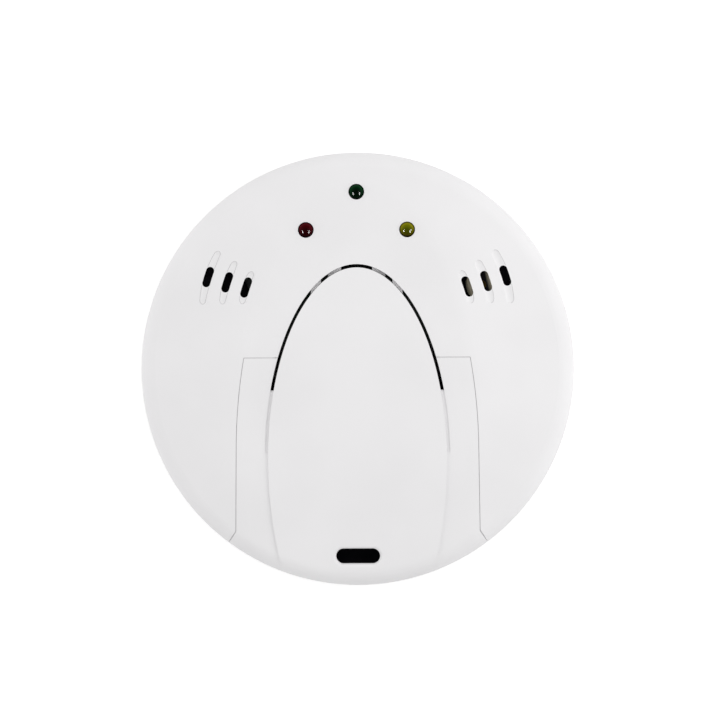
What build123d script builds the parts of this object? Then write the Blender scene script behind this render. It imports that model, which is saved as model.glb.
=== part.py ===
from build123d import *
from math import asin, cos, degrees, hypot, pi, radians, sin, sqrt
import os

os.makedirs("parts", exist_ok=True)

# A battery carbon monoxide alarm, lying on the back of its wall plate.
# Millimetres. Z points out of the wall, Y up the wall, and the origin is the middle of the plate's back.

# ---------------------------------------------------------------- driving dimensions
# Case
case_radius = 67.5
case_wall = 2.2
case_draft = 1.5
parting_z = 12.0
face_z = 38.0
face_crest_y = 6.5
dome_radius = 240.0
face_radius = 300.0
crown_height = 2.6
crease_radius = 20.0
rim_radius = 6.0
spigot_height = 3.0
spigot_wall = 1.6
spigot_gap = 0.2

# Wall plate and rear case
plate_step = 10.2
plate_thickness = 2.2
plate_gap = 0.3
plate_edge = 0.6
plate_recess = 1.0
plate_border = 5.0
plate_rib = 3.0
rear_step = 1.3
rear_floor = 2.2
rear_edge_radius = 2.0
side_vent_bearing = 12.0
side_vent_count = 5
side_vent_pitch = 9.0
side_vent_width = 6.5
side_vent_height = 2.0
side_vent_z = 7.5

# Bayonet between the plate and the rear case
hook_inset = 7.0
hook_wall = 2.0
hook_reach = 2.4
hook_height = 2.0
hook_angle = 8.0
hook_play = 0.3
hook_angle_play = 0.5
twist_angle = 15.0
hook_bearing = 92.0
hook_count = 3
screw_slot_spacing = 60.0
screw_slot_length = 9.0
screw_slot_width = 4.5

# Battery door, whose edge lies on a lip of the cover
door_top_y = 3.5
door_wide_y = -26.0
door_half_width = 37.6
door_side_spread = 0.3
door_reach = 81.5
flare_inset = 17.2
flare_slope = 0.68
seam = 0.2
lap_depth = 0.8
lap_width = 1.4
lap_gap = 0.2
lap_foot_z = 20.0
door_rib_x = 28.5
door_rib_width = 1.2
door_rib_depth = 3.0
door_rib_top_y = -14.0
door_rib_foot_y = -46.0
latch_x = 30.5
latch_width = 6.0
latch_thickness = 1.5
latch_depth = 6.5

# Tongue of the door, whose upper end is the test button
tongue_wide_y = -28.0
tongue_half_width = 27.7
tongue_tip_reach = 59.4
tongue_heel_reach = 65.0
tongue_rise = 0.58
crown_radius = 16.0
crown_width = 4.0
tongue_sink = 0.1
slit_width = 1.05
root_y = -6.6
groove_end_y = -25.9
groove_depth = 0.6
nub_gap = 0.12
nub_depth = 1.2
nub_x_from = 11.1
nub_x_to = 14.2
ramp_x_from = 4.8
ramp_x_to = 8.9
ramp_depth_near = 2.0
ramp_depth_far = 2.7
nub_foot = 1.5
nub_root = 1.2

# Hinge of the door
hinge_inset = 4.7
hinge_z = 13.9
pin_radius = 1.0
pin_play = 0.05
pin_length = 22.0
pin_edge = 0.25
knuckle_radius = 1.9
lug_from_x = 2.5
lug_width = 4.0
knuckle_gap = 0.4
knuckle_width = 3.5
lug_arm_below = 0.9
lug_post_depth = 3.5
swing_gap = 0.4

# Slot above the lower rim
port_length = 13.6
port_width = 4.6
port_inset = 9.45
port_edge_radius = 1.0

# Vents: slots at the middle of longer shallow scoops, three on each side
vent_count = 3
vent_top_x = 32.85
vent_top_y = 29.2
vent_top_step_x = 5.2
vent_top_step_y = 3.2
vent_foot_x = 35.4
vent_foot_y = 21.4
vent_foot_step_x = 6.2
vent_bow_radius = 47.0
vent_slot_length = 6.5
vent_slot_width = 2.5
scoop_width = 2.3
scoop_depth = 0.35

# Indicator lamps
led_radius = 2.4
led_flange_radius = 2.9
led_flange_height = 1.0
led_length = 8.6
led_play = 0.05
led_proud = 1.2
led_leg = 0.6
led_leg_spacing = 2.54
led_top_inset = 12.6
led_pair_inset = 24.4
led_pair_x = 15.7
led_collar_wall = 1.2
led_collar_depth = 2.4

# Circuit board
board_z = 18.0
board_thickness = 1.6
board_inset = 7.5
board_foot_y = 7.0
board_notch_gap = 0.8
board_post_radius = 3.0
board_post_x = 26.0
board_post_rise = 5.0
board_post_inset = 15.0
board_screw_radius = 1.1
board_screw_head_radius = 2.3
board_screw_head_height = 1.5
board_screw_length = 8.0

# Screws of the case
case_screw_inset = 8.9
case_screw_low_bearing = -20.0
case_screw_high_bearing = 55.0
case_screw_radius = 1.45
case_screw_head_radius = 2.7
case_screw_head_height = 2.0
case_boss_radius = 3.5
case_boss_z = 14.0
case_screw_sink = 0.8
case_screw_reach = 10.0
screw_play = 0.05

# Cells
cell_radius = 7.1
cell_length = 49.2
nub_length = 1.2
nub_radius = 2.75
cell_pitch = 15.0
cell_count = 3
cell_axis_z = 16.0
trough_play = 0.35
contact_thickness = 0.5
contact_width = 11.0
contact_room = 3.6
contact_play = 0.1
leaf_width = 6.0
leaf_thickness = 0.4
tray_wall = 2.2
tray_foot_inset = 15.3
tray_end_z = 22.0
cell_edge = 0.6
cup_spread = 1.2
cup_taper = 15.0
apron_thickness = 0.8
apron_gap = 0.3
apron_margin = 3.0

# Switch, sounder, sensor and parts on the board
switch_y = 20.0
switch_side = 6.2
switch_height = 3.6
plunger_radius = 1.7
plunger_height = 1.4
plunger_depth = 1.2
plunger_edge = 0.3
press_gap = 0.3
post_radius = 2.6
post_rib = 1.4
rib_length = 18.0
rib_depth = 4.0
sounder_inset = 28.8
sounder_y = 25.9
sounder_radius = 13.0
sounder_height = 8.6
sounder_wall = 1.4
sounder_edge = 0.7
throat_radius = 4.9
throat_bore = 1.5
throat_height = 2.4
piezo_radius = 10.0
piezo_thickness = 0.6
piezo_seat_height = 3.0
sensor_inset = 24.0
sensor_y = 22.5
sensor_radius = 10.0
sensor_height = 8.2
sensor_cap_radius = 7.0
sensor_cap_height = 1.2
sensor_edge = 0.6
sensor_hole_circle = 3.5
sensor_hole_radius = 0.9
sensor_hole_count = 6
chip_length = 10.3
chip_width = 7.5
chip_height = 2.4
chip_y = 33.0
chip_edge = 0.4
chip_pin_pitch = 1.27
chip_pin_width = 0.42
chip_pin_length = 1.3
chip_pin_height = 0.8
chip_pins = 16
resistor_x = -9.0
resistor_y = 15.0
resistor_pitch = 2.0
resistor_columns = 4
resistor_rows = 2
resistor_row_pitch = 4.0
resistor_width = 1.2
resistor_length = 2.0
resistor_height = 0.5
capacitor_x = 22.0
capacitor_y = 33.5
capacitor_radius = 4.0
capacitor_height = 9.0
capacitor_edge = 0.5
coil_x = -22.0
coil_y = 30.0
coil_radius = 4.6
coil_height = 7.0
coil_flange = 1.2
coil_core_radius = 3.7

# ---------------------------------------------------------------- worked out from them
half_turn = degrees(pi)
quarter_turn = half_turn / 2
rear_z = plate_thickness + plate_gap
floor_z = rear_z + rear_floor
rear_radius = case_radius - rear_step
plate_radius = rear_radius - plate_step
hook_radius = plate_radius - hook_inset
hinge_y = hinge_inset - case_radius
port_y = port_inset - case_radius
flare_y = flare_inset - case_radius
board_radius = case_radius - board_inset
case_screw_circle = case_radius - case_screw_inset
board_post_places = [
    (-board_post_x, board_foot_y + board_post_rise),
    (board_post_x, board_foot_y + board_post_rise),
    (0, board_radius - board_post_inset),
]
led_places = {
    "led_power": (0, case_radius - led_top_inset),
    "led_alarm": (-led_pair_x, case_radius - led_pair_inset),
    "led_fault": (led_pair_x, case_radius - led_pair_inset),
}
case_screw_length = case_boss_z + case_screw_reach - rear_z - case_screw_sink - case_screw_head_height
spigot_radius = case_radius - case_wall - spigot_gap
board_top_z = board_z + board_thickness
switch_top_z = board_top_z + switch_height
tray_foot_y = tray_foot_inset - case_radius
tray_top_y = tray_foot_y + cell_count * cell_pitch + 2 * tray_wall
cell_places_y = [tray_top_y - tray_wall - (i + 0.5) * cell_pitch for i in range(cell_count)]
sounder_x = case_radius - sounder_inset
sensor_x = sensor_inset - case_radius
tray_half_length = cell_length / 2 + nub_length / 2 + contact_room
through = 4 * case_radius
side_vent_depth = 2 * (rear_radius - spigot_radius + 2 * spigot_wall)
side_vent_bearings = [side_vent_bearing, half_turn - side_vent_bearing]
hook_centres = [hook_bearing - hook_angle / 2 + i * 2 * half_turn / hook_count for i in range(hook_count)]
case_screw_bearings = [
    case_screw_low_bearing,
    case_screw_high_bearing,
    half_turn - case_screw_high_bearing,
    half_turn - case_screw_low_bearing,
]


def bearing_place(radius, bearing):
    """The point at a radius and a compass bearing, both about the middle of the case."""
    return (radius * cos(radians(bearing)), radius * sin(radians(bearing)))


case_screw_places = [bearing_place(case_screw_circle, b) for b in case_screw_bearings]


def face_height(x, y):
    """Height of the outside of the face over a point, crease and rim rounding left aside."""
    dome = face_z + crown_height - dome_radius + sqrt(dome_radius**2 - x**2 - y**2)
    flat = face_z - face_radius + sqrt(face_radius**2 - (y - face_crest_y) ** 2)
    return min(dome, flat)


def case_form(inset=0.0, lift=0.0, base=parting_z):
    """The whole outside of the case as a solid, moved inwards by inset, with its flat raised by lift.

    The flat is a gentle cylinder that planes off the dome, and their crease is blended before the rim.
    """
    with BuildPart() as form:
        with BuildSketch(Plane.XY.offset(base)):
            Circle(case_radius - inset)
        extrude(amount=face_z, taper=case_draft)
        with Locations((0, 0, face_z + crown_height - dome_radius)):
            Sphere(dome_radius - inset, mode=Mode.INTERSECT)
        with Locations((0, face_crest_y, face_z + lift - face_radius)):
            Cylinder(face_radius - inset, through, rotation=(0, quarter_turn, 0), mode=Mode.INTERSECT)
        crease = form.edges().filter_by(GeomType.BSPLINE).sort_by(SortBy.LENGTH)[-1]
        fillet(crease, crease_radius)
        wall_edges = form.faces().filter_by(GeomType.CONE).edges()
        rim = wall_edges.filter_by(GeomType.LINE, reverse=True).filter_by_position(
            Axis.Z, base + rim_radius, 2 * face_z
        )
        fillet(rim, rim_radius - inset)
    return form.part


def tongue_plan(grow=0.0):
    """Plan of the tongue: half an ellipse up to its tip and a longer half down past the rim."""
    with BuildSketch() as plan:
        with BuildLine():
            half = tongue_half_width + grow
            EllipticalCenterArc((0, tongue_wide_y), half, tongue_tip_reach + grow, 0, arc_size=half_turn)
            EllipticalCenterArc(
                (0, tongue_wide_y), half, tongue_heel_reach + grow, half_turn, arc_size=half_turn
            )
        make_face()
    return plan.sketch


def door_plan(grow=0.0):
    """Plan of the door: elliptical shoulders, straight sides and a flare that runs out over the rim."""
    top = door_top_y + grow
    half = door_half_width + grow
    reach = door_reach + grow
    shoulder = degrees(asin((top - door_wide_y) / reach))
    shoulder_x = half * cos(radians(shoulder))
    foot_half = half + door_side_spread
    past_rim = -case_radius - case_wall
    flare_x = foot_half + flare_slope * (flare_y - past_rim)
    with BuildSketch() as plan:
        with BuildLine() as outline:
            Line((0, top), (shoulder_x, top))
            EllipticalCenterArc((0, door_wide_y), half, reach, 0, arc_size=shoulder)
            Polyline((half, door_wide_y), (foot_half, flare_y), (flare_x, past_rim), (0, past_rim))
            mirror(outline.line, about=Plane.YZ)
        make_face()
    return plan.sketch


def prism(plan):
    """A plan drawn straight up through the whole case."""
    with BuildPart() as block:
        add(plan)
        extrude(amount=2 * face_z)
    return block.part


def above(z):
    """Everything over a height out of the wall."""
    with BuildPart() as block:
        with Locations((0, 0, z)):
            Box(through, through, through, align=(Align.CENTER, Align.CENTER, Align.MIN))
    return block.part


def strip(y_from, y_to):
    """Everything between two heights up the wall."""
    with BuildPart() as block:
        with Locations((0, (y_from + y_to) / 2, 0)):
            Box(through, y_to - y_from, through)
    return block.part


def ring_sector(inner, outer, start, sweep):
    """Part of a flat ring about the middle of the case."""
    with BuildSketch() as sector:
        with BuildLine():
            near = CenterArc((0, 0), inner, start, sweep)
            far = CenterArc((0, 0), outer, start, sweep)
            Line(near @ 0, far @ 0)
            Line(near @ 1, far @ 1)
        make_face()
    return sector.sketch


def vent_line(index, side):
    """Centre line of a vent in plan, from its top down to its foot, bowed away from the middle."""
    top = Vector(side * (vent_top_x + index * vent_top_step_x), vent_top_y + index * vent_top_step_y)
    foot = Vector(side * (vent_foot_x + index * vent_foot_step_x), vent_foot_y)
    chord = foot - top
    outward = Vector(-side * chord.Y, side * chord.X).normalized()
    bow = vent_bow_radius - sqrt(vent_bow_radius**2 - (chord.length / 2) ** 2)
    return Edge.make_three_point_arc(top, (top + foot) * 0.5 + outward * bow, foot)


def vent_slot(line):
    """Plan of the round-ended slot at the middle of a vent's centre line."""
    share = (vent_slot_length - vent_slot_width) / line.length / 2
    with BuildSketch() as plan:
        SlotArc(line.trim(0.5 - share, 0.5 + share), vent_slot_width)
    return plan.sketch


def scoop(line):
    """A round tool that follows a vent's centre line over the face and dips into it by the scoop's depth."""
    tool_radius = (scoop_width / 2) ** 2 / (2 * scoop_depth) + scoop_depth / 2
    lift = tool_radius - scoop_depth
    over = [Vector(p.X, p.Y, face_height(p.X, p.Y) + lift) for p in (line @ 0, line @ 0.5, line @ 1)]
    with BuildPart() as tool:
        with BuildLine():
            path = ThreePointArc(*over)
        with BuildSketch(Plane(over[0], z_dir=path % 0)):
            Circle(tool_radius)
        sweep(path=path)
        with Locations(over[0], over[2]):
            Sphere(tool_radius)
    return tool.part


def write(piece, name):
    """Label a finished piece and save it under its own name."""
    piece.part.label = name
    export_step(piece.part, f"parts/{name}.step")


outside = case_form()
inside = case_form(case_wall, base=parting_z - case_wall)

# The slit runs round the tongue down to root_y, and goes on below it as a groove with a floor.
with BuildPart() as slit_ring:
    add(prism(tongue_plan(slit_width)))
    add(prism(tongue_plan()), mode=Mode.SUBTRACT)

# The tongue's crown is the gentle inner part of a large rounding, whose steep part lies outside its plan.
with BuildPart() as crown:
    with BuildSketch():
        add(tongue_plan(crown_radius - crown_width))
    extrude(amount=2 * face_z)
    with Locations((0, face_crest_y, face_z + tongue_rise - face_radius)):
        Cylinder(face_radius, through, rotation=(0, quarter_turn, 0), mode=Mode.INTERSECT)
    fillet(crown.edges().filter_by(GeomType.BSPLINE), crown_radius)

with BuildPart() as tongue_body:
    add(case_form(tongue_sink, tongue_rise + tongue_sink))
    add(prism(tongue_plan()), mode=Mode.INTERSECT)
    add(crown.part, mode=Mode.INTERSECT)

# The cover's lip runs under the door's edge, above lap_foot_z, and the door's edge is thinned to clear it.
with BuildPart() as lip:
    add(case_form(lap_depth + lap_gap))
    add(prism(door_plan(seam / 2)), mode=Mode.INTERSECT)
    add(prism(door_plan(seam / 2 - lap_width)), mode=Mode.SUBTRACT)
    add(inside, mode=Mode.SUBTRACT)
    add(above(lap_foot_z), mode=Mode.INTERSECT)

with BuildPart() as lip_room:
    add(case_form(lap_depth))
    add(prism(door_plan(seam)), mode=Mode.INTERSECT)
    add(prism(door_plan(-lap_width - lap_gap)), mode=Mode.SUBTRACT)
    add(above(lap_foot_z - lap_gap), mode=Mode.INTERSECT)

# ---------------------------------------------------------------- battery door
groove_skin = case_form(groove_depth)
door_swing = hypot(hinge_inset, hinge_z - parting_z)
knuckle_x = lug_from_x + lug_width + knuckle_gap

with BuildPart() as groove_cut:
    add(slit_ring.part)
    add(strip(groove_end_y, root_y), mode=Mode.INTERSECT)
    add(groove_skin, mode=Mode.SUBTRACT)

with BuildPart() as button_bay:
    add(prism(tongue_plan(slit_width)))
    add(strip(root_y, case_radius), mode=Mode.INTERSECT)

with BuildPart() as heel:
    add(tongue_body.part)
    add(strip(-2 * case_radius, root_y), mode=Mode.INTERSECT)

inner_skin = case_form(case_wall / 2)
door_rib_foot_z = face_height(door_rib_x, door_rib_foot_y) - case_wall - door_rib_depth
latch_y = door_top_y - lap_width - 2 * lap_gap
latch_foot_z = face_height(latch_x, latch_y) - case_wall - latch_depth

with BuildPart() as door_backing:
    with BuildSketch(Plane.XY.offset(door_rib_foot_z)):
        with Locations((0, (door_rib_top_y + door_rib_foot_y) / 2)):
            with GridLocations(2 * door_rib_x, 1, 2, 1):
                Rectangle(door_rib_width, door_rib_top_y - door_rib_foot_y)
    extrude(amount=face_z)
    with BuildSketch(Plane.XY.offset(latch_foot_z)):
        with Locations((0, latch_y)):
            with GridLocations(2 * latch_x, 1, 2, 1):
                Rectangle(latch_width, latch_thickness, align=(Align.CENTER, Align.MAX))
    extrude(amount=face_z)
    add(inner_skin, mode=Mode.INTERSECT)

with BuildPart() as battery_door:
    add(outside)
    add(prism(door_plan(-seam / 2)), mode=Mode.INTERSECT)
    add(button_bay.part, mode=Mode.SUBTRACT)
    add(heel.part)
    add(inside, mode=Mode.SUBTRACT)
    add(lip_room.part, mode=Mode.SUBTRACT)
    add(groove_cut.part, mode=Mode.SUBTRACT)
    add(door_backing.part)
    with BuildSketch(Plane.XY.offset(parting_z)):
        with Locations((0, port_y)):
            SlotOverall(port_length, port_width)
    extrude(amount=face_z, mode=Mode.SUBTRACT)
    port_edges = battery_door.edges(Select.LAST).filter_by(Axis.Z, reverse=True).sort_by(Axis.Z)
    fillet(port_edges[len(port_edges) // 2 :], port_edge_radius)
    for side in (-1, 1):
        start_x = knuckle_x if side > 0 else -knuckle_x - knuckle_width
        with BuildSketch(Plane.YZ.offset(start_x)):
            with Locations((hinge_y, hinge_z)):
                Circle(knuckle_radius)
                Rectangle(hinge_inset - case_wall / 2, 2 * knuckle_radius, align=(Align.MAX, Align.CENTER))
        extrude(amount=knuckle_width)
    with BuildSketch(Plane.YZ.offset(-case_radius)):
        with Locations((hinge_y, hinge_z)):
            Circle(pin_radius + pin_play)
    extrude(amount=2 * case_radius, mode=Mode.SUBTRACT)
write(battery_door, "battery_door")

# ---------------------------------------------------------------- test button
plunger_top_z = switch_top_z + plunger_height
rib_foot_z = face_z - case_wall - rib_depth

with BuildPart() as button_ribs:
    with BuildSketch(Plane.XY.offset(plunger_top_z + press_gap)):
        with Locations((0, switch_y)):
            Circle(post_radius)
    extrude(amount=face_z)
    with BuildSketch(Plane.XY.offset(rib_foot_z)):
        with Locations((0, switch_y)):
            Rectangle(post_rib, rib_length)
            Rectangle(rib_length, post_rib)
    extrude(amount=face_z)
    add(inner_skin, mode=Mode.INTERSECT)

with BuildPart() as test_button:
    add(tongue_body.part)
    add(strip(root_y, case_radius), mode=Mode.INTERSECT)
    add(inside, mode=Mode.SUBTRACT)
    add(button_ribs.part)
write(test_button, "test_button")

# ---------------------------------------------------------------- front cover
tip_face_z = face_height(0, tongue_wide_y + tongue_tip_reach)
nub_foot_z = tip_face_z - ramp_depth_far - nub_foot

# Stops that stand in the slit, rooted under the cover's edge.
with BuildPart() as nub_ring:
    add(prism(tongue_plan(slit_width + nub_root)))
    add(prism(tongue_plan(nub_gap)), mode=Mode.SUBTRACT)
    add(strip(door_top_y, case_radius), mode=Mode.INTERSECT)

with BuildPart() as nub_block:
    for side in (-1, 1):
        with BuildSketch(Plane.XZ.offset(-case_radius)):
            with BuildLine():
                Polyline(
                    (side * ramp_x_from, nub_foot_z),
                    (side * ramp_x_from, tip_face_z - ramp_depth_near),
                    (side * ramp_x_to, tip_face_z - ramp_depth_far),
                    (side * ramp_x_to, nub_foot_z),
                    close=True,
                )
            make_face()
            with Locations((side * (nub_x_from + nub_x_to) / 2, tip_face_z - nub_depth)):
                Rectangle(
                    nub_x_to - nub_x_from,
                    tip_face_z - nub_depth - nub_foot_z,
                    align=(Align.CENTER, Align.MAX),
                )
        extrude(amount=2 * case_radius)

with BuildPart() as nubs:
    add(nub_ring.part)
    add(nub_block.part, mode=Mode.INTERSECT)

with BuildPart() as bosses:
    with BuildSketch(Plane.XY.offset(case_boss_z)):
        with Locations(case_screw_places):
            Circle(case_boss_radius)
            Circle(case_screw_radius + screw_play, mode=Mode.SUBTRACT)
    extrude(amount=case_screw_reach + screw_play)
    with BuildSketch(Plane.XY.offset(case_boss_z + case_screw_reach + screw_play)):
        with Locations(case_screw_places):
            Circle(case_boss_radius)
    extrude(amount=face_z)
    add(inner_skin, mode=Mode.INTERSECT)

with BuildPart() as led_collars:
    for x, y in led_places.values():
        with BuildSketch(Plane.XY.offset(face_height(x, y) - case_wall - led_collar_depth)):
            with Locations((x, y)):
                Circle(led_radius + led_play + led_collar_wall)
        extrude(amount=face_z)
    add(inner_skin, mode=Mode.INTERSECT)

with BuildPart() as front_cover:
    add(outside)
    add(prism(door_plan(seam / 2)), mode=Mode.SUBTRACT)
    add(inside, mode=Mode.SUBTRACT)
    add(lip.part)
    add(button_bay.part, mode=Mode.SUBTRACT)
    add(bosses.part)
    add(nubs.part)
    add(led_collars.part)
    for index in range(vent_count):
        for side in (-1, 1):
            line = vent_line(index, side)
            add(scoop(line), mode=Mode.SUBTRACT)
            with BuildSketch():
                add(vent_slot(line))
            extrude(amount=2 * face_z, mode=Mode.SUBTRACT)
    with BuildSketch(Plane.XY.offset(board_top_z)):
        with Locations(list(led_places.values())):
            Circle(led_radius + led_play)
    extrude(amount=face_z, mode=Mode.SUBTRACT)
write(front_cover, "front_cover")

# ---------------------------------------------------------------- wall plate
hook_foot_z = floor_z + hook_play

with BuildPart() as mounting_plate:
    with BuildSketch():
        Circle(plate_radius)
        with GridLocations(screw_slot_spacing, 1, 2, 1):
            SlotOverall(screw_slot_length, screw_slot_width, mode=Mode.SUBTRACT)
    extrude(amount=plate_thickness)
    with BuildSketch(Plane.XY.offset(plate_thickness)):
        for start in hook_centres:
            add(ring_sector(hook_radius, hook_radius + hook_wall, start, hook_angle))
    extrude(amount=hook_foot_z + hook_height - plate_thickness)
    with BuildSketch(Plane.XY.offset(hook_foot_z)):
        for start in hook_centres:
            add(ring_sector(hook_radius, hook_radius + hook_wall + hook_reach, start, hook_angle))
    extrude(amount=hook_height)
    with BuildSketch():
        Circle(plate_radius - plate_border)
        Circle((screw_slot_spacing + plate_rib) / 2, mode=Mode.SUBTRACT)
        Circle((screw_slot_spacing - plate_rib) / 2)
        with PolarLocations(plate_radius / 2, 2 * hook_count, hook_bearing):
            Rectangle(plate_radius, plate_rib, mode=Mode.SUBTRACT)
        with GridLocations(screw_slot_spacing, 1, 2, 1):
            SlotOverall(
                screw_slot_length + 2 * plate_rib, screw_slot_width + 2 * plate_rib, mode=Mode.SUBTRACT
            )
    extrude(amount=plate_recess, mode=Mode.SUBTRACT)
    plate_rim = mounting_plate.edges().filter_by(GeomType.CIRCLE).filter_by(
        lambda e: abs(e.radius - plate_radius) < hook_play
    )
    chamfer(plate_rim, plate_edge)
write(mounting_plate, "mounting_plate")

# ---------------------------------------------------------------- rear case
lug_post_y = hinge_y + door_swing + swing_gap
bay_half_width = sqrt(case_radius**2 - hinge_y**2) + swing_gap

with BuildPart() as rear_case:
    with BuildSketch(Plane.XY.offset(rear_z)):
        Circle(rear_radius)
    extrude(amount=parting_z - rear_z, taper=-case_draft)
    fillet(rear_case.edges().group_by(Axis.Z)[0], rear_edge_radius)
    with BuildSketch(Plane.XY.offset(parting_z)):
        Circle(spigot_radius)
        add(door_plan(seam), mode=Mode.SUBTRACT)
    extrude(amount=spigot_height)
    with BuildSketch(Plane.XY.offset(floor_z)):
        Circle(spigot_radius - spigot_wall)
    extrude(amount=face_z, mode=Mode.SUBTRACT)
    with BuildSketch(Plane.XY.offset(hinge_z - door_swing - swing_gap)):
        with Locations((0, lug_post_y)):
            Rectangle(2 * bay_half_width, case_radius, align=(Align.CENTER, Align.MAX))
    extrude(amount=face_z, mode=Mode.SUBTRACT)
    with BuildSketch(Plane.XY.offset(rear_z)):
        for start in hook_centres:
            slide = start - twist_angle - hook_angle_play
            add(
                ring_sector(
                    hook_radius - hook_play,
                    hook_radius + hook_wall + hook_play,
                    slide,
                    hook_angle + twist_angle + 2 * hook_angle_play,
                )
            )
            add(
                ring_sector(
                    hook_radius - hook_play,
                    hook_radius + hook_wall + hook_reach + hook_play,
                    slide,
                    hook_angle + 2 * hook_angle_play,
                )
            )
    extrude(amount=rear_floor, mode=Mode.SUBTRACT)
    with BuildSketch(Plane.XY.offset(floor_z)):
        with Locations(case_screw_places):
            Circle(case_boss_radius)
    extrude(amount=case_boss_z - floor_z)
    with BuildSketch(Plane.XY.offset(floor_z)):
        with Locations(board_post_places):
            Circle(board_post_radius)
    extrude(amount=board_z - floor_z)
    for middle in side_vent_bearings:
        start = middle - (side_vent_count - 1) / 2 * side_vent_pitch
        with PolarLocations(rear_radius, side_vent_count, start, side_vent_pitch * side_vent_count):
            with Locations((0, 0, side_vent_z)):
                Box(side_vent_depth, side_vent_width, side_vent_height, mode=Mode.SUBTRACT)
    with Locations([(x, y, rear_z) for x, y in case_screw_places]):
        Cylinder(
            case_screw_head_radius + 2 * screw_play,
            case_screw_sink + case_screw_head_height,
            align=(Align.CENTER, Align.CENTER, Align.MIN),
            mode=Mode.SUBTRACT,
        )
        Cylinder(
            case_screw_radius + screw_play,
            case_boss_z - rear_z,
            align=(Align.CENTER, Align.CENTER, Align.MIN),
            mode=Mode.SUBTRACT,
        )
    with Locations([(x, y, board_z) for x, y in board_post_places]):
        Cylinder(
            board_screw_radius + screw_play,
            board_screw_length - board_thickness + screw_play,
            align=(Align.CENTER, Align.CENTER, Align.MAX),
            mode=Mode.SUBTRACT,
        )
    for start_x in (lug_from_x, -lug_from_x - lug_width):
        with BuildSketch(Plane.YZ.offset(start_x)):
            with BuildLine():
                Polyline(
                    (hinge_y, hinge_z + knuckle_radius),
                    (lug_post_y + lug_post_depth, hinge_z + knuckle_radius),
                    (lug_post_y + lug_post_depth, rear_z + rear_floor / 2),
                    (lug_post_y, rear_z + rear_floor / 2),
                    (lug_post_y, hinge_z - lug_arm_below),
                    (hinge_y, hinge_z - lug_arm_below),
                    close=True,
                )
            make_face()
            with Locations((hinge_y, hinge_z)):
                Circle(knuckle_radius)
                Circle(pin_radius + pin_play, mode=Mode.SUBTRACT)
        extrude(amount=lug_width)
write(rear_case, "rear_case")

with BuildPart() as hinge_pin:
    with BuildSketch(Plane.YZ.offset(-pin_length / 2)):
        with Locations((hinge_y, hinge_z)):
            Circle(pin_radius)
    extrude(amount=pin_length)
    chamfer(hinge_pin.edges().filter_by(GeomType.CIRCLE), pin_edge)
write(hinge_pin, "hinge_pin")

# ---------------------------------------------------------------- screws
def screw_profile(shank_radius, length, head_radius, head_height):
    """A pan-head screw with a cross recess, standing head up with the head's seat at the origin."""
    with BuildPart() as screw:
        with BuildSketch(Plane.XZ):
            with BuildLine():
                Polyline(
                    (0, -length),
                    (shank_radius / 2, -length),
                    (shank_radius, shank_radius - length),
                    (shank_radius, 0),
                    (head_radius, 0),
                    (head_radius, head_height / 2),
                    (head_radius - head_height / 2, head_height),
                    (0, head_height),
                    close=True,
                )
            make_face()
        revolve(axis=Axis.Z)
        with BuildSketch(Plane.XY.offset(head_height)):
            Rectangle(head_radius, head_height / 4)
            Rectangle(head_height / 4, head_radius)
        extrude(amount=-head_height / 2, mode=Mode.SUBTRACT)
    return screw.part


with BuildPart() as case_screws:
    driven = screw_profile(
        case_screw_radius, case_screw_length, case_screw_head_radius, case_screw_head_height
    )
    seat_z = rear_z + case_screw_sink + case_screw_head_height
    with Locations([Location((x, y, seat_z), (half_turn, 0, 0)) for x, y in case_screw_places]):
        add(driven)
write(case_screws, "case_screws")

with BuildPart() as board_screws:
    held = screw_profile(
        board_screw_radius, board_screw_length, board_screw_head_radius, board_screw_head_height
    )
    with Locations([(x, y, board_top_z) for x, y in board_post_places]):
        add(held)
write(board_screws, "board_screws")

# ---------------------------------------------------------------- cells and their tray
trough_radius = cell_radius + trough_play
apron_z = hinge_z + knuckle_radius + apron_gap
apron_width = port_length + 2 * apron_margin

with BuildPart() as battery_tray:
    with BuildSketch(Plane.XY.offset(floor_z)):
        with Locations((0, tray_top_y)):
            Rectangle(
                2 * (tray_half_length + tray_wall),
                tray_top_y - tray_foot_y,
                align=(Align.CENTER, Align.MAX),
            )
    extrude(amount=cell_axis_z - floor_z)
    with BuildSketch(Plane.XY.offset(cell_axis_z)):
        for side in (-1, 1):
            with Locations((side * (tray_half_length + tray_wall / 2), tray_top_y)):
                Rectangle(
                    tray_wall, tray_top_y - tray_foot_y, align=(Align.CENTER, Align.MAX)
                )
    extrude(amount=tray_end_z - cell_axis_z)
    with BuildSketch(Plane.YZ.offset(-tray_half_length)):
        with Locations([(y, cell_axis_z) for y in cell_places_y]):
            Circle(trough_radius)
    extrude(amount=2 * tray_half_length, mode=Mode.SUBTRACT)
    with BuildSketch(Plane.XY.offset(cell_axis_z - contact_width / 2)):
        for side in (-1, 1):
            with Locations((side * tray_half_length, tray_top_y - tray_wall)):
                Rectangle(
                    contact_room,
                    tray_top_y - tray_foot_y - 2 * tray_wall,
                    align=(Align.MAX if side > 0 else Align.MIN, Align.MAX),
                )
    extrude(amount=tray_end_z, mode=Mode.SUBTRACT)
    with BuildSketch(Plane.XY.offset(cell_axis_z)):
        with Locations((0, tray_foot_y)):
            Rectangle(apron_width, tray_wall, align=(Align.CENTER, Align.MIN))
    extrude(amount=apron_z + apron_thickness - cell_axis_z)
    with BuildSketch(Plane.XY.offset(apron_z)):
        with Locations((0, hinge_y + knuckle_radius + apron_gap)):
            Rectangle(
                apron_width,
                tray_foot_y + tray_wall - hinge_y - knuckle_radius - apron_gap,
                align=(Align.CENTER, Align.MIN),
            )
    extrude(amount=apron_thickness)
write(battery_tray, "battery_tray")

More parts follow.
